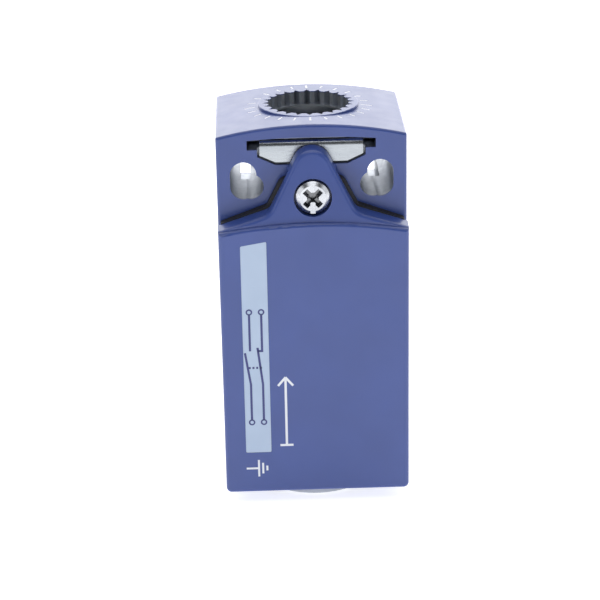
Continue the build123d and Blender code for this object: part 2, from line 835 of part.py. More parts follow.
# ---------------------------------------------------------------- moving contacts
nc_bridge_top = nc_strip_height - 2 * tip_height - contact_gap
nc_bridge_bottom = nc_bridge_top - bridge_thickness
no_bridge_bottom = no_strip_height + strip_thickness + 2 * tip_height + plunger_stroke + contact_gap
no_bridge_top = no_bridge_bottom + bridge_thickness
nc_window = (30.4, nc_bridge_top + 0.5)
no_window = (no_bridge_bottom, 29.0)

with BuildPart() as contact_carrier:
    # slider with a stem under the plunger and a window for each bridge
    with BuildSketch(level(carrier_bottom)):
        with Locations(socket_axis):
            RectangleRounded(2 * carrier_half, carrier_depth, 0.5)
    extrude(amount=carrier_top - carrier_bottom)
    with BuildSketch(level(carrier_top)):
        with Locations(socket_axis):
            Circle(stem_radius)
    extrude(amount=plunger_bottom - carrier_top)
    for low, high in (nc_window, no_window):
        with BuildSketch(across()):
            with Locations((back(socket_depth), up((low + high) / 2))):
                Rectangle(bridge_width + 0.3, high - low)
        extrude(amount=carrier_half + 1, both=True, mode=Mode.SUBTRACT)
contact_carrier.part.label = "contact_carrier"


def bridge(low):
    """Contact bridge strip with round ends, its underside at a height."""
    with BuildPart() as strip:
        with BuildSketch(level(low)):
            with Locations(socket_axis):
                SlotOverall(2 * bridge_half, bridge_width)
        extrude(amount=bridge_thickness)
    return strip


nc_bridge = bridge(nc_bridge_bottom)
nc_bridge.part.label = "nc_bridge"
no_bridge = bridge(no_bridge_bottom)
no_bridge.part.label = "no_bridge"

nc_contact_spring = coil(nc_contact_spring_wind, nc_window[0], nc_bridge_bottom)
nc_contact_spring.part.label = "nc_contact_spring"
no_contact_spring = coil(no_contact_spring_wind, no_bridge_top, no_window[1])
no_contact_spring.part.label = "no_contact_spring"

with BuildPart() as moving_contact_tips:
    for low in (nc_bridge_top, no_bridge_bottom - tip_height):
        with BuildSketch(level(low)):
            with Locations((-contact_x, back(socket_depth)), (contact_x, back(socket_depth))):
                Circle(tip_radius)
        extrude(amount=tip_height)
moving_contact_tips.part.label = "moving_contact_tips"


# ---------------------------------------------------------------- fixed contacts
def fixed_contacts(strip_height, terminal_height):
    """Pair of brass strips: a terminal pad in the bay and an arm into the chamber."""
    with BuildPart() as strips:
        with BuildSketch(upright(pad_front + strip_thickness)):
            with both_sides(terminal_x, up(terminal_height)):
                Rectangle(pad_size, pad_size)
            with both_sides(terminal_x, up(terminal_height)):
                Circle(terminal_shank_radius + running_gap, mode=Mode.SUBTRACT)
        extrude(amount=strip_thickness)
        with BuildSketch(upright(strip_back)):
            with both_sides((strip_inner_x + strip_outer_x) / 2, up(strip_height + strip_thickness / 2)):
                Rectangle(strip_outer_x - strip_inner_x, strip_thickness)
        extrude(amount=strip_back - pad_front)
    return strips


nc_fixed_contacts = fixed_contacts(nc_strip_height, nc_terminal_height)
nc_fixed_contacts.part.label = "nc_fixed_contacts"
no_fixed_contacts = fixed_contacts(no_strip_height, no_terminal_height)
no_fixed_contacts.part.label = "no_fixed_contacts"

with BuildPart() as fixed_contact_tips:
    for low in (nc_strip_height - tip_height, no_strip_height + strip_thickness):
        with BuildSketch(level(low)):
            with Locations((-contact_x, back(socket_depth)), (contact_x, back(socket_depth))):
                Circle(tip_radius)
        extrude(amount=tip_height)
fixed_contact_tips.part.label = "fixed_contact_tips"


# ---------------------------------------------------------------- terminals
def clamp_screws(places, head_front, head_length, head_radius, tip, recess):
    """Pan-head screws that face the front, at places in an upright sketch."""
    with BuildPart() as screws:
        with BuildSketch(upright(tip)):
            with Locations(*places):
                Circle(terminal_shank_radius)
        extrude(amount=tip - head_front)
        with BuildSketch(upright(head_front + head_length)):
            with Locations(*places):
                Circle(head_radius)
        extrude(amount=head_length)
        fillet(screws.faces().group_by(Axis.Y)[0].edges(), 0.4)
        with BuildSketch(upright(head_front + recess)):
            with Locations(*places):
                Rectangle(2 * head_radius + 1, 0.7)
                Rectangle(0.7, 3.2)
        extrude(amount=recess, mode=Mode.SUBTRACT)
    return screws


def clamp_plates(places, size, front, thickness):
    """Square clamp washers under the terminal screws."""
    with BuildPart() as plates:
        with BuildSketch(upright(front + thickness)):
            with Locations(*places):
                RectangleRounded(size, size, 0.5)
            with Locations(*places):
                Circle(terminal_shank_radius + running_gap, mode=Mode.SUBTRACT)
        extrude(amount=thickness)
    return plates


terminal_places = [
    (side * terminal_x, up(height)) for height in (nc_terminal_height, no_terminal_height) for side in (-1, 1)
]
terminal_screws = clamp_screws(
    terminal_places, terminal_head_front, clamp_front - terminal_head_front, terminal_head_radius, 15.4, 0.9
)
terminal_screws.part.label = "terminal_screws"
terminal_clamps = clamp_plates(terminal_places, 6.2, clamp_front, clamp_thickness)
terminal_clamps.part.label = "terminal_clamps"

earth_place = [(earth_x, up(earth_height))]
earth_clamp = clamp_plates(earth_place, 6.4, earth_boss_front - 1.0, 0.9)
earth_clamp.part.label = "earth_clamp"
earth_screw = clamp_screws(earth_place, earth_boss_front - 2.8, 1.8, earth_head_radius, 26.6, 0.9)
earth_screw.part.label = "earth_screw"

# ---------------------------------------------------------------- write the pieces
pieces = (
    housing,
    front_cover,
    cover_gasket,
    cover_screw,
    cover_screw_washer,
    cover_hinge_pins,
    head_lock_clip,
    plunger,
    plunger_seal,
    spring_seat_washer,
    plunger_spring,
    carrier_spring,
    contact_block_base,
    contact_block_cover,
    contact_block_screws,
    contact_carrier,
    nc_bridge,
    no_bridge,
    nc_contact_spring,
    no_contact_spring,
    moving_contact_tips,
    nc_fixed_contacts,
    no_fixed_contacts,
    fixed_contact_tips,
    terminal_screws,
    terminal_clamps,
    earth_screw,
    earth_clamp,
)
os.makedirs("parts", exist_ok=True)
for piece in pieces:
    export_step(piece.part, f"parts/{piece.part.label}.step")
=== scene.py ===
# %% [markdown]
# # A compact limit switch body
#
# The object is the body of a small limit switch: a painted die-cast case, a cover held by
# one screw, a toothed socket that takes an operating head, and a steel clip that locks the
# head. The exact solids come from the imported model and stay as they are. This lesson gives
# them their finishes, adds the printed and wound details, and sets up the studio.

import json
import math

import bmesh
import bpy
from mathutils import Matrix, Vector


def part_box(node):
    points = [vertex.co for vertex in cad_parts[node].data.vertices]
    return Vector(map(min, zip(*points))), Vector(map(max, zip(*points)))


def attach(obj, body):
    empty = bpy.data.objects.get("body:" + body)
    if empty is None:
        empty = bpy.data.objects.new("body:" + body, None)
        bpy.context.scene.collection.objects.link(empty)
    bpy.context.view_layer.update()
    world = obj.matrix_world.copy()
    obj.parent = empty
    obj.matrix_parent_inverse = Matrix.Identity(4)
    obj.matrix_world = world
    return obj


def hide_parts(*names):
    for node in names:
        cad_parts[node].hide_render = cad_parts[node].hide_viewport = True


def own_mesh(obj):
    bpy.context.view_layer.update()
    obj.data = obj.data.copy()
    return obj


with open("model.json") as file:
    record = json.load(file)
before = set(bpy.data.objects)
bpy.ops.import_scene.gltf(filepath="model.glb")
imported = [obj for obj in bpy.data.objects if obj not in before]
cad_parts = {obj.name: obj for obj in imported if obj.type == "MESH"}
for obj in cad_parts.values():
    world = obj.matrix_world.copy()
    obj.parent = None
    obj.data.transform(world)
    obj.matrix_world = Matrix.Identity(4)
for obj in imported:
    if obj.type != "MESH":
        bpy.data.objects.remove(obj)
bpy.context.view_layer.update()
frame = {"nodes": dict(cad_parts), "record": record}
MM = 0.001

# %% [markdown]
# ## Where things are
#
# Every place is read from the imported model's own boxes. The socket's axis is the plunger's
# axis, and the painted front of the cover is the lowest Y of its node. The housing's highest
# face is the flat ring of the socket, and the crown lies a hair below it.

# %% Read the places
housing_low, housing_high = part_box("housing")
cover_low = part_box("front_cover")[0]
plunger_low, plunger_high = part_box("plunger")
socket_axis = Vector(((plunger_low.x + plunger_high.x) / 2, (plunger_low.y + plunger_high.y) / 2, 0))
ring_top = housing_high.z
crown_top = ring_top - 0.05 * MM
cover_face = cover_low.y
cable_end = cover_low.z
collar_end = housing_low.z
print("socket axis at Y", round(socket_axis.y / MM, 2), "mm, crown at Z", round(crown_top / MM, 2), "mm")

# %% [markdown]
# ## Camera
#
# The switch stands on a table and is seen from slightly above, straight on to the cover,
# with a long lens that keeps its upright edges nearly parallel. The camera turns a little
# to the right, looks down, and leans by about one degree.

# %% Place the camera
camera_data = bpy.data.cameras.new("portrait_lens")
camera_data.sensor_width = 36
camera_data.lens = 122.2
camera = bpy.data.objects.new("portrait_camera", camera_data)
turn_right, look_down, lean = 0.0231, 0.3754, -0.0197
camera.matrix_world = (
    Matrix.Translation((-0.009589, -0.34006, 0.10417))
    @ Matrix.Rotation(-turn_right, 4, "Z")
    @ Matrix.Rotation(math.pi / 2 - look_down, 4, "X")
    @ Matrix.Rotation(lean, 4, "Z")
)
bpy.context.scene.collection.objects.link(camera)
bpy.context.scene.camera = camera
bpy.context.scene.view_settings.view_transform = "Standard"
print("camera at", [round(v, 3) for v in camera.location])

# %% [markdown]
# ## Wiring helper
#
# Shader nodes and geometry nodes are added the same way. One helper adds a node, sets its
# options, and fills each named input with either a plain value or a link.


# %% Define the wiring helpers
def add_node(tree, kind, inputs=None, **options):
    node = tree.nodes.new(kind)
    for option, value in options.items():
        setattr(node, option, value)
    for key, value in (inputs or {}).items():
        if isinstance(value, bpy.types.NodeSocket):
            tree.links.new(value, node.inputs[key])
        else:
            node.inputs[key].default_value = value
    return node


def calculate(tree, operation, *values, clamp=False):
    node = add_node(tree, "ShaderNodeMath", dict(enumerate(values)), operation=operation, use_clamp=clamp)
    return node.outputs[0]


def fade(tree, value, low, high, at_low=0.0, at_high=1.0):
    inputs = {"Value": value, "From Min": low, "From Max": high, "To Min": at_low, "To Max": at_high}
    return add_node(tree, "ShaderNodeMapRange", inputs).outputs["Result"]


def start_group(name, kind, sockets_in, sockets_out):
    tree = bpy.data.node_groups.new(name, kind)
    for in_out, sockets in (("INPUT", sockets_in), ("OUTPUT", sockets_out)):
        for label, (socket_type, value) in sockets.items():
            socket = tree.interface.new_socket(label, in_out=in_out, socket_type=socket_type)
            if value is not None:
                socket.default_value = value
    return tree, tree.nodes.new("NodeGroupInput").outputs, tree.nodes.new("NodeGroupOutput").inputs


NUMBER, VECTOR, COUNT = "NodeSocketFloat", "NodeSocketVector", "NodeSocketInt"
SHAPE, FINISH = "NodeSocketGeometry", "NodeSocketMaterial"
print("helpers ready")

# %% [markdown]
# ## Grain group
#
# Paint over a casting is never quite flat: it has an orange-peel ripple about half a
# millimetre across, a slow change of shade over several millimetres, and smudges that only
# show in the gloss. One group makes all three from noise at three scales, read from object
# coordinates so that the pattern stays in the material when a part moves.

# %% Build the grain group
grain, given, result = start_group(
    "surface_grain",
    "ShaderNodeTree",
    {"Grain size": (NUMBER, 0.0005), "Patch size": (NUMBER, 0.008), "Stretch": (VECTOR, (1, 1, 1))},
    {"Height": (NUMBER, None), "Patches": (NUMBER, None), "Smudges": (NUMBER, None)},
)
coordinates = grain.nodes.new("ShaderNodeTexCoord").outputs["Object"]
stretched = add_node(
    grain, "ShaderNodeVectorMath", {0: coordinates, 1: given["Stretch"]}, operation="MULTIPLY"
).outputs[0]
grain_scale = calculate(grain, "DIVIDE", 1.0, given["Grain size"])
patch_scale = calculate(grain, "DIVIDE", 1.0, given["Patch size"])
smudge_scale = calculate(grain, "MULTIPLY", patch_scale, 3.1)
noises = (("Height", grain_scale, 3), ("Patches", patch_scale, 2), ("Smudges", smudge_scale, 5))
for label, scale, detail in noises:
    noise = add_node(grain, "ShaderNodeTexNoise", {"Vector": stretched, "Scale": scale, "Detail": detail})
    grain.links.new(noise.outputs["Fac"], result[label])
print("surface_grain has", len(grain.nodes), "nodes")

# %% [markdown]
# ## Edge group
#
# Handling polishes the edges of a painted casting, and paint draws thin there, so edges
# look a shade lighter; on the paint the lighter edge is also a painted highlight. The Bevel
# node gives the normal an edge would have if it were rounded: where that differs from the
# surface's own normal, an edge is near. Noise breaks the line up so that it isn't the same
# all along.

# %% Build the edge group
edges, given, result = start_group(
    "edge_wear_and_highlight",
    "ShaderNodeTree",
    {"Reach": (NUMBER, 0.0003), "Gain": (NUMBER, 6.0), "Break-up size": (NUMBER, 0.0015)},
    {"Mask": (NUMBER, None)},
)
rounded = add_node(edges, "ShaderNodeBevel", {"Radius": given["Reach"]}, samples=4).outputs[0]
surface = edges.nodes.new("ShaderNodeNewGeometry").outputs["Normal"]
match = add_node(edges, "ShaderNodeVectorMath", {0: rounded, 1: surface}, operation="DOT_PRODUCT")
difference = calculate(edges, "SUBTRACT", 1.0, match.outputs["Value"])
edge = calculate(edges, "MULTIPLY", difference, given["Gain"], clamp=True)
coordinates = edges.nodes.new("ShaderNodeTexCoord").outputs["Object"]
break_scale = calculate(edges, "DIVIDE", 1.0, given["Break-up size"])
break_up = add_node(edges, "ShaderNodeTexNoise", {"Vector": coordinates, "Scale": break_scale, "Detail": 3})
patchy = fade(edges, break_up.outputs["Fac"], 0.35, 0.6, 0.35, 1.0)
edges.links.new(calculate(edges, "MULTIPLY", edge, patchy), result["Mask"])
print("edge_wear_and_highlight has", len(edges.nodes), "nodes")

# %% [markdown]
# ## Printed line group
#
# The white signs on the cover are pad-printed: they have no thickness, so they belong in
# the paint's material and not in the mesh. Each stroke is a straight line with a centre, a
# half length, a half width and a turn. The group gives 1 inside the stroke and 0 outside,
# and only on the front skin of the cover.

# %% Build the printed line group
stroke, given, result = start_group(
    "printed_line",
    "ShaderNodeTree",
    {
        "Centre": (VECTOR, (0, 0, 0)),
        "Half length": (NUMBER, 0.001),
        "Half width": (NUMBER, 0.0002),
        "Turn": (NUMBER, 0.0),
        "Front": (NUMBER, 0.0),
    },
    {"Mask": (NUMBER, None)},
)
coordinates = stroke.nodes.new("ShaderNodeTexCoord").outputs["Object"]
centred = add_node(
    stroke, "ShaderNodeVectorMath", {0: coordinates, 1: given["Centre"]}, operation="SUBTRACT"
).outputs[0]
turned = add_node(
    stroke, "ShaderNodeVectorRotate", {"Vector": centred, "Angle": given["Turn"]}, rotation_type="Y_AXIS"
).outputs[0]
along = add_node(stroke, "ShaderNodeSeparateXYZ", {0: turned})
depth = add_node(stroke, "ShaderNodeSeparateXYZ", {0: coordinates})
ink_edge = 0.015 * MM
strokes = []
for value, limit in ((along.outputs["X"], given["Half length"]), (along.outputs["Z"], given["Half width"])):
    past = calculate(stroke, "SUBTRACT", calculate(stroke, "ABSOLUTE", value), limit)
    strokes.append(fade(stroke, past, -ink_edge, ink_edge, 1.0, 0.0))
front_skin = calculate(stroke, "LESS_THAN", depth.outputs["Y"], given["Front"])
inside = calculate(stroke, "MULTIPLY", calculate(stroke, "MULTIPLY", *strokes), front_skin)
stroke.links.new(inside, result["Mask"])
print("printed_line has", len(stroke.nodes), "nodes")

# %% [markdown]
# ## Material helper
#
# Every finish starts from the Principled BSDF. The helper makes the material and returns
# its tree and shader. A second helper places a group in it and a third builds a
# bump from a height, because all the finishes need those.


# %% Define the material helpers
def start_material(name, roughness, metallic=0.0, **sockets):
    material = bpy.data.materials.new(name)
    material.use_nodes = True
    shader = material.node_tree.nodes["Principled BSDF"]
    shader.inputs["Roughness"].default_value = roughness
    shader.inputs["Metallic"].default_value = metallic
    for label, value in sockets.items():
        shader.inputs[label.replace("_", " ")].default_value = value
    return material, material.node_tree, shader


def place_group(tree, group, inputs):
    return add_node(tree, "ShaderNodeGroup", inputs, node_tree=group).outputs


def blend_colours(tree, share, first, second):
    node = add_node(tree, "ShaderNodeMix", {"Factor": share}, data_type="RGBA")
    for socket, colour in ((node.inputs[6], first), (node.inputs[7], second)):
        if isinstance(colour, bpy.types.NodeSocket):
            tree.links.new(colour, socket)
        else:
            socket.default_value = (*colour, 1)
    return node.outputs[2]


def blend_values(tree, share, first, second):
    return add_node(tree, "ShaderNodeMix", {"Factor": share, 2: first, 3: second}).outputs[0]


def raise_surface(tree, shader, height, distance, strength=1.0):
    inputs = {"Height": height, "Distance": distance, "Strength": strength}
    bump = add_node(tree, "ShaderNodeBump", inputs)
    tree.links.new(bump.outputs["Normal"], shader.inputs["Normal"])


def within(tree, value, low, high, soft=0.0001):
    rise = fade(tree, value, low - soft, low + soft)
    fall = fade(tree, value, high - soft, high + soft, 1.0, 0.0)
    return calculate(tree, "MULTIPLY", rise, fall)


def all_of(tree, *masks):
    result = masks[0]
    for mask in masks[1:]:
        result = calculate(tree, "MULTIPLY", result, mask)
    return result


def any_of(tree, *masks):
    result = masks[0]
    for mask in masks[1:]:
        result = calculate(tree, "MAXIMUM", result, mask)
    return result


def object_axes(tree):
    coordinates = tree.nodes.new("ShaderNodeTexCoord").outputs["Object"]
    split = add_node(tree, "ShaderNodeSeparateXYZ", {0: coordinates})
    return split.outputs["X"], split.outputs["Y"], split.outputs["Z"]


def distance(tree, across, along):
    squares = [calculate(tree, "POWER", value, 2.0) for value in (across, along)]
    return calculate(tree, "SQRT", calculate(tree, "ADD", *squares))


print("material helpers ready")

# %% [markdown]
# ## Paint over zinc
#
# The case and the cover are zinc castings under a semi-gloss blue-violet paint. Paint is
# the outer skin only: the fixing holes, the toothed socket, the wiring space and the
# cable collar are bare metal, machined or masked. One recipe serves both castings. It takes
# a mask of the bare places and mixes the two finishes there.

# %% Define the painted casting recipe
PAINT = (0.042, 0.080, 0.305)
PAINT_WORN_AND_HIGHLIT = (0.16, 0.21, 0.47)
BARE_ZINC = (0.52, 0.55, 0.60)
ZINC_SHADE = (0.35, 0.375, 0.42)
INK_WHITE = (0.80, 0.83, 0.90)


def painted_casting(name, bare_zones, ink_strokes=None):
    material, tree, shader = start_material(name, 0.36, Coat_Weight=0.35, Coat_Roughness=0.16)
    ripple = place_group(tree, grain, {"Grain size": 0.55 * MM, "Patch size": 9 * MM})
    wear_and_highlight = place_group(tree, edges, {"Reach": 0.22 * MM, "Gain": 2.2, "Break-up size": 1.2 * MM})["Mask"]
    x, y, z = object_axes(tree)
    bare = bare_zones(tree, x, y, z)
    shade = fade(tree, ripple["Patches"], 0.3, 0.7)
    paint = blend_colours(tree, shade, [0.95 * c for c in PAINT], [1.05 * c for c in PAINT])
    # Edges lighten toward a paler blue: partly worn, thin paint, partly a painted highlight.
    paint = blend_colours(tree, calculate(tree, "MULTIPLY", wear_and_highlight, 0.55), paint, PAINT_WORN_AND_HIGHLIT)
    paint_gloss = fade(tree, ripple["Smudges"], 0.3, 0.75, 0.31, 0.40)
    if ink_strokes:
        ink = ink_strokes(tree)
        paint = blend_colours(tree, ink, paint, INK_WHITE)
        paint_gloss = blend_values(tree, ink, paint_gloss, 0.5)
    metal = blend_colours(tree, ripple["Smudges"], ZINC_SHADE, BARE_ZINC)
    metal_gloss = fade(tree, ripple["Height"], 0.3, 0.7, 0.34, 0.52)
    tree.links.new(blend_colours(tree, bare, paint, metal), shader.inputs["Base Color"])
    tree.links.new(blend_values(tree, bare, paint_gloss, metal_gloss), shader.inputs["Roughness"])
    tree.links.new(calculate(tree, "MULTIPLY", bare, 0.95), shader.inputs["Metallic"])
    tree.links.new(blend_values(tree, bare, 0.35, 0.0), shader.inputs["Coat Weight"])
    raise_surface(tree, shader, ripple["Height"], 0.012 * MM, 0.6)
    return material


print("painted casting recipe ready")

# %% [markdown]
# ## Bare places on the case
#
# The masks are simple volumes: blocks for the fixing holes, the wiring space and the clip's
# slot, a cylinder for the socket, and everything below the cable end for the collar. The
# blocks stop just inside the front and rear skins, which stay painted. Each row gives a
# block's near and far distance from the middle, then its lowest and highest Z, in millimetres.

# %% Mark the bare places of the case
case_front = -25.0 * MM
front_skin_depth, rear_skin_depth, skin_blend = 0.45 * MM, 0.35 * MM, 0.06 * MM
socket_zone_radius, socket_zone_foot = 7.9 * MM, -9.0 * MM
bare_blocks = {
    "fixing holes": (7.4, 13.6, -7.0, 4.5),
    "wiring space": (-1.0, 13.3, -49.0, -8.0),
    "clip slot": (-1.0, 10.6, 2.0, 7.8),
}


def case_bare_zones(tree, x, y, z):
    side = calculate(tree, "ABSOLUTE", x)
    inner = within(tree, y, case_front + front_skin_depth, -rear_skin_depth, skin_blend)
    zones = []
    for near, far, low, high in bare_blocks.values():
        beside = within(tree, side, near * MM, far * MM)
        zones.append(all_of(tree, beside, within(tree, z, low * MM, high * MM), inner))
    radius = distance(tree, x, calculate(tree, "SUBTRACT", y, socket_axis.y))
    below_ring = within(tree, z, socket_zone_foot, ring_top - 0.14 * MM, 0.03 * MM)
    zones.append(all_of(tree, within(tree, radius, -1 * MM, socket_zone_radius), below_ring))
    zones.append(within(tree, z, collar_end - 1 * MM, cable_end - 0.05 * MM))
    return any_of(tree, *zones)


case_paint = painted_casting("case_paint", case_bare_zones)
frame["nodes"]["housing"].material_slots[0].material = case_paint
print("housing painted")

# %% [markdown]
# ## Signs on the cover
#
# Beside the label the real cover carries small white prints. Here they are an arrow that
# points to the head end and an earth sign, drawn with straight strokes: each row below is
# centre X, centre Z, half length, half width and turn in degrees, in millimetres.

# %% Paint the cover
arrow_x, arrow_low, arrow_high = -5.1, -44.2, -31.8
sign_x, sign_z = -10.0, -48.4
cover_strokes = [
    (arrow_x, (arrow_low + arrow_high) / 2, (arrow_high - arrow_low) / 2, 0.2, 90),
    (arrow_x - 0.62, arrow_high - 0.75, 1.0, 0.2, 50),
    (arrow_x + 0.62, arrow_high - 0.75, 1.0, 0.2, -50),
    (arrow_x, arrow_low, 1.1, 0.2, 0),
    (sign_x - 0.95, sign_z, 1.05, 0.17, 0),
    (sign_x + 0.10, sign_z, 1.55, 0.17, 90),
    (sign_x + 0.80, sign_z, 1.0, 0.17, 90),
    (sign_x + 1.50, sign_z, 0.45, 0.17, 90),
]


def cover_ink(tree):
    masks = []
    for across_mm, up_mm, half_length, half_width, turn in cover_strokes:
        inputs = {
            "Centre": (across_mm * MM, cover_face, up_mm * MM),
            "Half length": half_length * MM,
            "Half width": half_width * MM,
            "Turn": math.radians(turn),
            "Front": cover_face + 0.05 * MM,
        }
        masks.append(place_group(tree, stroke, inputs)["Mask"])
    return any_of(tree, *masks)


def cover_bare_zones(tree, x, y, z):
    side = calculate(tree, "ABSOLUTE", x)
    hollow = all_of(tree, within(tree, side, -1 * MM, 13.3 * MM), within(tree, z, -49.5 * MM, -8.2 * MM))
    return calculate(tree, "MULTIPLY", hollow, within(tree, y, cover_face + 1.2 * MM, -25 * MM))


cover_paint = painted_casting("cover_paint", cover_bare_zones, cover_ink)
frame["nodes"]["front_cover"].material_slots[0].material = cover_paint
print("front_cover painted, with", len(cover_strokes), "printed strokes")

# %% [markdown]
# ## Metals
#
# The clip is rolled spring steel, the screws are zinc plated, the strips are brass and the
# contact tips silver. They differ in colour, gloss and in how their grain runs, so one
# recipe with a stretch direction covers them: rolled strip is streaked along X, turned and
# plated parts are only mottled. The plated finish also takes a mask that darkens the bottom
# of the cover screw's recess: partly a dark film of dirt, partly painted shade.


# %% Define the metal recipe
def metal_finish(name, colour, shade, roughness, grain_size, stretch=(1, 1, 1), depth=0.002, dirt_and_shade=None):
    material, tree, shader = start_material(name, roughness, 1.0)
    inputs = {"Grain size": grain_size * MM, "Patch size": 2.5 * MM, "Stretch": stretch}
    streaks = place_group(tree, grain, inputs)
    wear_and_highlight = place_group(tree, edges, {"Reach": 0.08 * MM, "Gain": 1.5, "Break-up size": 0.7 * MM})["Mask"]
    mottle = blend_colours(tree, fade(tree, streaks["Patches"], 0.3, 0.7), shade, colour)
    bright = [min(1, 1.25 * c) for c in colour]
    surface = blend_colours(tree, wear_and_highlight, mottle, bright)
    # The recess mask darkens the metal to 30% of its colour: partly dirt, partly painted shade.
    if dirt_and_shade:
        surface = blend_colours(tree, dirt_and_shade(tree), surface, [0.3 * c for c in colour])
    tree.links.new(surface, shader.inputs["Base Color"])
    gloss = fade(tree, streaks["Height"], 0.3, 0.7, 0.75 * roughness, 1.3 * roughness)
    tree.links.new(gloss, shader.inputs["Roughness"])
    raise_surface(tree, shader, streaks["Height"], depth * MM, 0.7)
    return material


screw_low, screw_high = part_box("cover_screw")


def recess_dirt_and_shade(tree):
    """Darkens the bottom of the cover screw's driver recess: partly a dirt film, partly painted shade."""
    x, y, z = object_axes(tree)
    radius = distance(tree, x, calculate(tree, "SUBTRACT", z, (screw_low.z + screw_high.z) / 2))
    near_axis = fade(tree, radius, 1.9 * MM, 2.1 * MM, 1.0, 0.0)
    deep = fade(tree, y, screw_low.y + 0.6 * MM, screw_low.y + 1.1 * MM)
    return all_of(tree, near_axis, deep, within(tree, y, screw_low.y, screw_low.y + 2.4 * MM))


metal_looks = {
    "spring_steel": ((0.46, 0.49, 0.525), (0.37, 0.40, 0.44), 0.24, 0.12, (0.06, 1, 1)),
    "spring_wire": ((0.62, 0.61, 0.58), (0.45, 0.45, 0.44), 0.27, 0.15),
    "contact_brass": ((0.83, 0.62, 0.30), (0.70, 0.50, 0.22), 0.28, 0.15, (1, 0.1, 1)),
    "contact_silver": ((0.90, 0.89, 0.86), (0.78, 0.77, 0.74), 0.22, 0.1),
    "earth_screw_steel": ((0.74, 0.74, 0.62), (0.60, 0.60, 0.50), 0.3, 0.2),
}
metals = {slot: metal_finish(slot, *look) for slot, look in metal_looks.items()}
metals["zinc_plated_steel"] = metal_finish(
    "zinc_plated", (0.62, 0.64, 0.68), (0.47, 0.49, 0.54), 0.25, 0.2, dirt_and_shade=recess_dirt_and_shade
)
print(len(metals), "metals")

# %% [markdown]
# ## Plastics and rubber
#
# The contact block is thermoset plastic with a fine spark-eroded texture, the carrier and
# the plunger are smooth, and the gasket is matt nitrile rubber with a dusty bloom. The
# depth of the grain and the gloss tell them apart.


# %% Define the plastic recipe
def plastic_finish(name, colour, roughness, grain_size, depth, subsurface=0.0):
    sockets = {"Subsurface_Weight": subsurface, "Subsurface_Scale": 0.4 * MM} if subsurface else {}
    material, tree, shader = start_material(name, roughness, **sockets)
    texture = place_group(tree, grain, {"Grain size": grain_size * MM, "Patch size": 4 * MM})
    wear_and_highlight = place_group(tree, edges, {"Reach": 0.1 * MM, "Gain": 1.5, "Break-up size": 1 * MM})["Mask"]
    darker, lighter = [0.88 * c for c in colour], [1.1 * c + 0.004 for c in colour]
    body = blend_colours(tree, fade(tree, texture["Patches"], 0.3, 0.7), darker, lighter)
    rubbed = [min(1, 1.35 * c + 0.02) for c in colour]
    body = blend_colours(tree, calculate(tree, "MULTIPLY", wear_and_highlight, 0.5), body, rubbed)
    tree.links.new(body, shader.inputs["Base Color"])
    gloss = fade(tree, texture["Smudges"], 0.3, 0.7, 0.88 * roughness, 1.1 * roughness)
    tree.links.new(gloss, shader.inputs["Roughness"])
    raise_surface(tree, shader, texture["Height"], depth * MM, 0.8)
    return material


plastic_looks = {
    "seal_rubber": ((0.016, 0.016, 0.018), 0.62, 0.22, 0.02),
    "grey_nylon": ((0.36, 0.36, 0.37), 0.42, 0.3, 0.006),
    "white_acetal": ((0.78, 0.78, 0.74), 0.3, 0.4, 0.004, 0.1),
    "black_block": ((0.028, 0.028, 0.031), 0.48, 0.16, 0.014),
    "grey_block": ((0.20, 0.20, 0.21), 0.5, 0.16, 0.014),
    "red_carrier": ((0.45, 0.05, 0.035), 0.33, 0.35, 0.004),
}
plastics = {slot: plastic_finish(slot, *look) for slot, look in plastic_looks.items()}
print(len(plastics), "plastics")

# %% [markdown]
# ## Give every node its finish
#
# The record names a slot for each node, so the finishes are handed out by slot.

# %% Hand out the finishes
finishes = {**metals, **plastics}
for part in frame["record"]["subparts"]:
    if part["material_slot"] in finishes:
        for material_slot in frame["nodes"][part["node"]].material_slots:
            material_slot.material = finishes[part["material_slot"]]

# %% [markdown]
# ## Growing a piece from a node tree
#
# Scale marks, springs and threads repeat or follow a rule, so each is grown by a geometry
# node tree with named inputs. The helper puts the tree on an empty mesh, sets its inputs by
# their identifiers, keeps the evaluated mesh and takes the modifier off again, so that what
# is left is plain mesh in its final place.


# %% Define the growing helper
def link_piece(name, mesh):
    piece = bpy.data.objects.new(name, mesh)
    bpy.context.scene.collection.objects.link(piece)
    return piece


def grow(name, tree, settings):
    piece = link_piece(name, bpy.data.meshes.new(name))
    maker = piece.modifiers.new("maker", "NODES")
    maker.node_group = tree
    for item in tree.interface.items_tree:
        if item.in_out == "INPUT" and item.name in settings:
            maker[item.identifier] = settings[item.name]
    evaluated = piece.evaluated_get(bpy.context.evaluated_depsgraph_get())
    mesh = bpy.data.meshes.new_from_object(evaluated)
    piece.modifiers.remove(maker)
    piece.data = mesh
    print(name, "has", len(mesh.polygons), "faces")
    return piece


# %% [markdown]
# ## Scale round the socket
#
# The head turns in steps of fifteen degrees, and the crown carries one light line for each
# step, longer at every quarter turn. The lines fill shallow grooves in the casting with a
# near-white solid, which is a painted reflection of the bright light on the grooves' sloping
# sides. They are thin bars instanced on a ring of points and then lowered to follow the
# crown, which is part of a cylinder lying along Y.

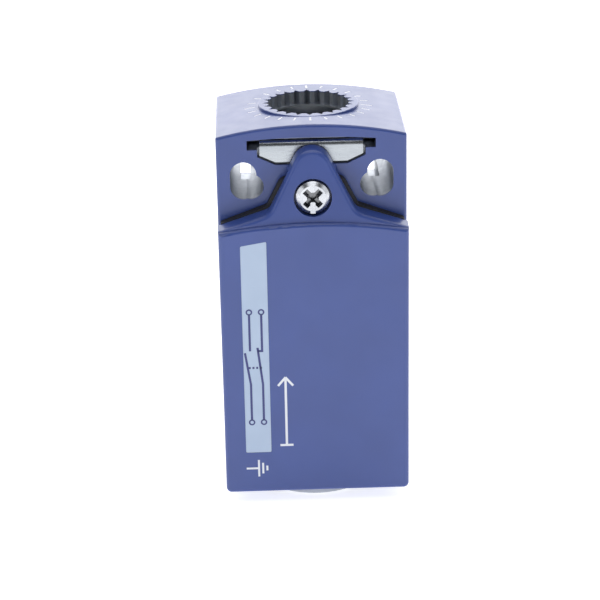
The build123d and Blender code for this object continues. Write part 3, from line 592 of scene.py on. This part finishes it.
# %% Build the scale tree
scale_tree, given, result = start_group(
    "turning_scale",
    "GeometryNodeTree",
    {
        "Marks": (COUNT, 24),
        "Ring radius": (NUMBER, 0.0097),
        "Mark length": (NUMBER, 0.0013),
        "Mark width": (NUMBER, 0.0003),
        "Mark depth": (NUMBER, 0.0001),
        "Quarter length": (NUMBER, 1.3),
        "Crown radius": (NUMBER, 0.066),
        "Centre": (VECTOR, (0, 0, 0)),
        "Reflection fill": (FINISH, None),
    },
    {"Geometry": (SHAPE, None)},
)
index = scale_tree.nodes.new("GeometryNodeInputIndex").outputs[0]
step = calculate(scale_tree, "DIVIDE", 2 * math.pi, given["Marks"])
angle = calculate(scale_tree, "MULTIPLY", index, step)
ring = add_node(
    scale_tree,
    "ShaderNodeCombineXYZ",
    {
        "X": calculate(scale_tree, "MULTIPLY", calculate(scale_tree, "COSINE", angle), given["Ring radius"]),
        "Y": calculate(scale_tree, "MULTIPLY", calculate(scale_tree, "SINE", angle), given["Ring radius"]),
    },
)
points = add_node(scale_tree, "GeometryNodePoints", {"Count": given["Marks"], "Position": ring.outputs[0]})
bar_sides = {"X": given["Mark length"], "Y": given["Mark width"], "Z": given["Mark depth"]}
bar_size = add_node(scale_tree, "ShaderNodeCombineXYZ", bar_sides)
bar = add_node(scale_tree, "GeometryNodeMeshCube", {"Size": bar_size.outputs[0], "Vertices X": 4})
quarter = calculate(scale_tree, "DIVIDE", given["Marks"], 4.0)
is_quarter = calculate(scale_tree, "LESS_THAN", calculate(scale_tree, "MODULO", index, quarter), 0.5)
stretch = add_node(
    scale_tree,
    "ShaderNodeCombineXYZ",
    {"X": fade(scale_tree, is_quarter, 0.0, 1.0, 1.0, given["Quarter length"]), "Y": 1.0, "Z": 1.0},
)
turn = add_node(scale_tree, "ShaderNodeCombineXYZ", {"Z": angle})
rotation = add_node(scale_tree, "FunctionNodeEulerToRotation", {0: turn.outputs[0]})
bars = add_node(
    scale_tree,
    "GeometryNodeInstanceOnPoints",
    {
        "Points": points.outputs[0],
        "Instance": bar.outputs[0],
        "Rotation": rotation.outputs[0],
        "Scale": stretch.outputs[0],
    },
)
real = add_node(scale_tree, "GeometryNodeRealizeInstances", {"Geometry": bars.outputs[0]})
place = scale_tree.nodes.new("GeometryNodeInputPosition").outputs[0]
across = add_node(scale_tree, "ShaderNodeSeparateXYZ", {0: place}).outputs["X"]
squares = calculate(
    scale_tree,
    "SUBTRACT",
    calculate(scale_tree, "POWER", given["Crown radius"], 2.0),
    calculate(scale_tree, "POWER", across, 2.0),
)
drop = calculate(scale_tree, "SUBTRACT", calculate(scale_tree, "SQRT", squares), given["Crown radius"])
lowered = add_node(scale_tree, "ShaderNodeCombineXYZ", {"Z": drop})
offset = add_node(
    scale_tree, "ShaderNodeVectorMath", {0: lowered.outputs[0], 1: given["Centre"]}, operation="ADD"
)
settled = add_node(
    scale_tree, "GeometryNodeSetPosition", {"Geometry": real.outputs[0], "Offset": offset.outputs[0]}
)
inked = add_node(
    scale_tree, "GeometryNodeSetMaterial", {"Geometry": settled.outputs[0], "Material": given["Reflection fill"]}
)
scale_tree.links.new(inked.outputs[0], result["Geometry"])
print("turning_scale has", len(scale_tree.nodes), "nodes")

# %% Grow the scale
# The scale fill is near white as a painted reflection of the bright light on the groove sides.
ink, tree, shader = start_material("scale_painted_reflection", 0.45)
reflection_grain = place_group(tree, grain, {"Grain size": 0.15 * MM, "Patch size": 1.5 * MM})
reflection_patches = fade(tree, reflection_grain["Patches"], 0.3, 0.7)
reflection_shade = blend_colours(tree, reflection_patches, (0.78, 0.81, 0.88), (0.90, 0.92, 0.97))
tree.links.new(reflection_shade, shader.inputs["Base Color"])
raise_surface(tree, shader, reflection_grain["Height"], 0.004 * MM)
mark_depth, mark_sink = 0.1 * MM, 0.01 * MM
scale = grow(
    "turning_scale_marks",
    scale_tree,
    {
        "Marks": 24,
        "Ring radius": 9.75 * MM,
        "Mark length": 1.33 * MM,
        "Mark width": 0.33 * MM,
        "Mark depth": mark_depth,
        "Quarter length": 1.37,
        "Crown radius": 66 * MM,
        "Centre": (socket_axis.x, socket_axis.y, crown_top - mark_sink - mark_depth / 2),
        "Reflection fill": ink,
    },
)
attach(scale, "housing")

# %% [markdown]
# ## Springs
#
# The two coil springs are squeezed when the plunger goes in. A coil follows a rule, so it
# is grown as a spiral: half a turn lies flat at each end, as on a ground spring, and the
# turns between rise evenly. The pieces stand for the imported coils, which they hide, and
# are attached to the housing at their rest length.

# %% Build the spring tree
spring_tree, given, result = start_group(
    "wound_spring",
    "GeometryNodeTree",
    {
        "Coil radius": (NUMBER, 0.003),
        "Wire radius": (NUMBER, 0.0003),
        "Turns": (NUMBER, 5.0),
        "Height": (NUMBER, 0.006),
        "Flat turns": (NUMBER, 0.5),
        "Foot": (VECTOR, (0, 0, 0)),
        "Steel": (FINISH, None),
    },
    {"Geometry": (SHAPE, None)},
)
coil = add_node(
    spring_tree,
    "GeometryNodeCurveSpiral",
    {
        "Resolution": 40,
        "Rotations": given["Turns"],
        "Start Radius": given["Coil radius"],
        "End Radius": given["Coil radius"],
        "Height": 0.0,
    },
)
share = spring_tree.nodes.new("GeometryNodeSplineParameter").outputs["Factor"]
flat_share = calculate(spring_tree, "DIVIDE", given["Flat turns"], given["Turns"])
rise = fade(spring_tree, share, flat_share, calculate(spring_tree, "SUBTRACT", 1.0, flat_share))
free_height = calculate(
    spring_tree, "SUBTRACT", given["Height"], calculate(spring_tree, "MULTIPLY", given["Wire radius"], 2.0)
)
wire_z = calculate(
    spring_tree, "ADD", calculate(spring_tree, "MULTIPLY", rise, free_height), given["Wire radius"]
)
lift = add_node(spring_tree, "ShaderNodeCombineXYZ", {"Z": wire_z})
offset = add_node(
    spring_tree, "ShaderNodeVectorMath", {0: lift.outputs[0], 1: given["Foot"]}, operation="ADD"
)
wound = add_node(
    spring_tree, "GeometryNodeSetPosition", {"Geometry": coil.outputs[0], "Offset": offset.outputs[0]}
)
wire_section = add_node(
    spring_tree, "GeometryNodeCurvePrimitiveCircle", {"Resolution": 12, "Radius": given["Wire radius"]}
)
wire = add_node(
    spring_tree,
    "GeometryNodeCurveToMesh",
    {"Curve": wound.outputs[0], "Profile Curve": wire_section.outputs[0], "Fill Caps": True},
)
smooth = add_node(spring_tree, "GeometryNodeSetShadeSmooth", {"Geometry": wire.outputs[0]})
real = add_node(spring_tree, "GeometryNodeRealizeInstances", {"Geometry": smooth.outputs[0]})
steel = add_node(
    spring_tree, "GeometryNodeSetMaterial", {"Geometry": real.outputs[0], "Material": given["Steel"]}
)
spring_tree.links.new(steel.outputs[0], result["Geometry"])
print("wound_spring has", len(spring_tree.nodes), "nodes")

# %% Wind the springs
for node, joint, body, turns, wire_radius in (
    ("plunger_spring", "plunger_travel", "housing", 5, 0.28 * MM),
    ("carrier_spring", "contact_travel", "housing", 7, 0.2 * MM),
):
    low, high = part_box(node)
    height = high.z - low.z
    foot = Vector(((low.x + high.x) / 2, (low.y + high.y) / 2, low.z))
    spring = grow(
        node + "_coil",
        spring_tree,
        {
            "Coil radius": (high.x - low.x) / 2 - wire_radius,
            "Wire radius": wire_radius,
            "Turns": turns,
            "Height": height,
            "Foot": foot,
            "Steel": finishes["spring_wire"],
        },
    )
    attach(spring, body)
    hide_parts(node)
    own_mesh(spring)

# %% [markdown]
# ## Thread in the cable entry
#
# The collar takes a gland with a 16 mm thread of 1.5 mm pitch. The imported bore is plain, at
# the tapping size, so the turns of the thread are a ridge that winds up its wall. The same
# spring tree makes it, because a thread is a coil with no flat ends.

# %% Cut the entry thread
entry_radius = 7.25 * MM
entry_axis_y = -16.4 * MM
ridge_radius = 0.42 * MM
entry_low, entry_high = collar_end + 0.5 * MM, cable_end + 3.6 * MM
thread_pitch = 1.5 * MM
zinc, tree, shader = start_material("machined_zinc", 0.3, 1.0)
cut = place_group(tree, grain, {"Grain size": 0.1 * MM, "Patch size": 2 * MM, "Stretch": (1, 1, 4)})
cut_shade = blend_colours(tree, cut["Patches"], ZINC_SHADE, (0.68, 0.69, 0.71))
tree.links.new(cut_shade, shader.inputs["Base Color"])
raise_surface(tree, shader, cut["Height"], 0.004 * MM)
thread = grow(
    "entry_thread",
    spring_tree,
    {
        "Coil radius": entry_radius + 0.1 * MM,
        "Wire radius": ridge_radius,
        "Turns": (entry_high - entry_low) / thread_pitch,
        "Height": entry_high - entry_low,
        "Flat turns": 0.0,
        "Foot": (0, entry_axis_y, entry_low),
        "Steel": zinc,
    },
)
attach(thread, "housing")

# %% [markdown]
# ## Label
#
# A pale strip runs up the left of the cover, in a shallow recess. Its foot is square and
# its head follows the slant of the cover's shoulder. The outline is drawn as a polygon with
# small rounded corners and given the thickness of a foil.


# %% Define the flat sheet helper
def round_corners(corners, radius, steps=4):
    points = []
    for i, corner in enumerate(corners):
        before, after = Vector(corners[i - 1]), Vector(corners[(i + 1) % len(corners)])
        here = Vector(corner)
        start = here + (before - here).normalized() * radius
        end = here + (after - here).normalized() * radius
        for k in range(steps + 1):
            t = k / steps
            points.append((1 - t) ** 2 * start + 2 * t * (1 - t) * here + t ** 2 * end)
    return points


def add_sheet(mesh, outline, front, thickness):
    """Adds a closed flat sheet whose face is at Y = front; the outline is X and Z."""
    rings = [[mesh.verts.new((p[0], y, p[1])) for p in outline] for y in (front, front + thickness)]
    mesh.faces.new(rings[0])
    mesh.faces.new(rings[1][::-1])
    for i in range(len(outline)):
        j = (i + 1) % len(outline)
        mesh.faces.new((rings[0][i], rings[1][i], rings[1][j], rings[0][j]))


def finish_mesh(name, mesh, material):
    bmesh.ops.recalc_face_normals(mesh, faces=mesh.faces)
    data = bpy.data.meshes.new(name)
    mesh.to_mesh(data)
    mesh.free()
    data.materials.append(material)
    print(name, "has", len(data.polygons), "faces")
    return link_piece(name, data)


# %% Lay the label
label_left, label_right = -11.98 * MM, -7.72 * MM
label_foot = cable_end + 7.52 * MM
label_head_left, label_head_right = cable_end + 44.43 * MM, cable_end + 45.13 * MM
label_face = cover_face + 0.02 * MM
foil_thickness = 0.05 * MM
foil, tree, shader = start_material("label_foil", 0.42)
fibre = place_group(tree, grain, {"Grain size": 0.2 * MM, "Patch size": 6 * MM})
foil_patches = fade(tree, fibre["Patches"], 0.3, 0.7)
foil_shade = blend_colours(tree, foil_patches, (0.44, 0.55, 0.73), (0.48, 0.59, 0.77))
tree.links.new(foil_shade, shader.inputs["Base Color"])
tree.links.new(fade(tree, fibre["Smudges"], 0.3, 0.7, 0.36, 0.48), shader.inputs["Roughness"])
raise_surface(tree, shader, fibre["Height"], 0.003 * MM)
label_mesh = bmesh.new()
label_corners = [
    (label_left, label_foot),
    (label_right, label_foot),
    (label_right, label_head_right),
    (label_left, label_head_left),
]
add_sheet(label_mesh, round_corners(label_corners, 0.25 * MM), label_face, foil_thickness)
label = finish_mesh("cover_label", label_mesh, foil)
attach(label, "cover")

# %% [markdown]
# ## Contact diagram
#
# The strip shows how the two contacts inside are wired: one that closes and one that opens,
# driven together. It is a plain wiring sign, drawn as ribbons along short paths. Paths are
# given in millimetres as (along the strip, across it), the strip being read from its foot.


# %% Define the ribbon helper
def ribbon(path, half_width, closed=False):
    """The outline of a ribbon of even width along a path."""
    sides = ([], [])
    count = len(path)
    for i, point in enumerate(path):
        before = path[i - 1] if i or closed else point
        after = path[(i + 1) % count] if i + 1 < count or closed else point
        into, out = (Vector(point) - Vector(before)), (Vector(after) - Vector(point))
        into = into.normalized() if into.length else out.normalized()
        out = out.normalized() if out.length else into
        normal = Vector((-(into + out).y, (into + out).x)).normalized()
        reach = half_width / max(0.4, normal.dot(Vector((-into.y, into.x))))
        sides[0].append(Vector(point) + normal * reach)
        sides[1].append(Vector(point) - normal * reach)
    return sides


def on_strip(point):
    """From millimetres along and across the strip to X and Z in metres."""
    along_mm, across_mm = point
    middle = (label_left + label_right) / 2
    return Vector((middle - across_mm * MM, label_foot + along_mm * MM))


def add_ribbon(mesh, path, half_width, front, thickness, closed=False):
    left, right = ribbon([on_strip(p) for p in path], half_width * MM, closed)
    if closed:
        count = len(path)
        for i in range(count):
            j = (i + 1) % count
            add_sheet(mesh, [left[i], left[j], right[j], right[i]], front, thickness)
    else:
        add_sheet(mesh, left + right[::-1], front, thickness)


# %% Draw the contact diagram
diagram_ink, tree, shader = start_material("diagram_ink", 0.5)
pigment = place_group(tree, grain, {"Grain size": 0.12 * MM, "Patch size": 2 * MM})
pigment_shade = blend_colours(tree, pigment["Patches"], (0.045, 0.052, 0.20), (0.065, 0.078, 0.26))
tree.links.new(pigment_shade, shader.inputs["Base Color"])
line_half_width = 0.19
closing_row, opening_row = 1.0, -1.0
lead_start, hinge_at, contact_at, lead_end = 6.0, 12.5, 18.5, 25.0
paths = [
    [(lead_start, closing_row), (hinge_at, closing_row), (contact_at - 0.3, closing_row + 0.85)],
    [(contact_at, closing_row), (lead_end, closing_row)],
    [(lead_start, opening_row), (hinge_at, opening_row), (contact_at + 0.6, opening_row + 0.75)],
    [(contact_at, opening_row + 0.75), (contact_at, opening_row), (lead_end, opening_row)],
]
link_at = (hinge_at + contact_at) / 2
dash_starts = [closing_row + 0.3 - 0.62 * k for k in range(4)]
paths += [[(link_at, start), (link_at, start - 0.34)] for start in dash_starts]
ring_radius = 0.42
ring_places = (lead_start - ring_radius, lead_end + ring_radius)
ring_centres = [(place, row) for place in ring_places for row in (closing_row, opening_row)]
ring_half_width = 0.13
ring_sides = 20
ink_thickness = 0.012 * MM
diagram_face = label_face - 0.008 * MM
diagram_mesh = bmesh.new()
for path in paths:
    add_ribbon(diagram_mesh, path, line_half_width, diagram_face, ink_thickness)
for along_mm, across_mm in ring_centres:
    angles = [2 * math.pi * k / ring_sides for k in range(ring_sides)]
    circle = [(along_mm + ring_radius * math.cos(a), across_mm + ring_radius * math.sin(a)) for a in angles]
    add_ribbon(diagram_mesh, circle, ring_half_width, diagram_face, ink_thickness, closed=True)
diagram = finish_mesh("contact_diagram", diagram_mesh, diagram_ink)
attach(diagram, "cover")

# %% [markdown]
# ## Studio
#
# The switch stands on a lit table in a dim room, under five soft panels. The table's own glow
# fills the shadow at its foot and brightens the low parts. The large panel behind is the
# strongest: it lies along the crown as a sheen, because the painted crown is seen at a low
# angle. The panels in front are weaker and model the cover's rounded edges.

# %% Lay the floor and hang the lights
floor_mesh = bpy.data.meshes.new("floor")
floor_reach = 3.0
corner_signs = ((-1, -1), (1, -1), (1, 1), (-1, 1))
floor_corners = [(floor_reach * i, floor_reach * j, collar_end) for i, j in corner_signs]
floor_mesh.from_pydata(floor_corners, [], [(0, 1, 2, 3)])
floor = link_piece("floor", floor_mesh)
floor_paper, tree, shader = start_material("floor_paper", 0.9, Emission_Strength=0.75)
shader.inputs["Emission Color"].default_value = (1, 1, 1, 1)
paper = place_group(tree, grain, {"Grain size": 2 * MM, "Patch size": 60 * MM})
paper_shade = blend_colours(tree, paper["Patches"], (0.90, 0.90, 0.90), (0.93, 0.93, 0.93))
tree.links.new(paper_shade, shader.inputs["Base Color"])
floor_mesh.materials.append(floor_paper)

surround = bpy.data.worlds.new("surround")
surround.use_nodes = True
surround.node_tree.nodes["Background"].inputs["Color"].default_value = (1, 1, 1, 1)
surround.node_tree.nodes["Background"].inputs["Strength"].default_value = 0.12
bpy.context.scene.world = surround

panels = [
    ("back_panel", (0.0, 1.1, 0.42), 2.2, 1.1, 2.25),
    ("top_panel", (0.0, 0.30, 0.85), 1.4, 0.8, 1.5),
    ("front_top_panel", (0.0, -0.45, 0.85), 0.7, 0.35, 1.8),
    ("left_panel", (-0.75, -0.45, 0.22), 0.5, 0.6, 1.2),
    ("right_panel", (0.75, -0.40, 0.22), 0.5, 0.6, 1.0),
]
aim = Vector((0, -0.015, -0.02))
for name, where, width, tall, radiance in panels:
    light_data = bpy.data.lights.new(name, "AREA")
    light_data.shape = "RECTANGLE"
    light_data.size, light_data.size_y = width, tall
    light_data.energy = radiance * math.pi * width * tall
    light = bpy.data.objects.new(name, light_data)
    light.location = where
    light.rotation_euler = (aim - Vector(where)).to_track_quat("-Z", "Y").to_euler()
    bpy.context.scene.collection.objects.link(light)
    print(name, "gives", round(light_data.energy, 2), "W")
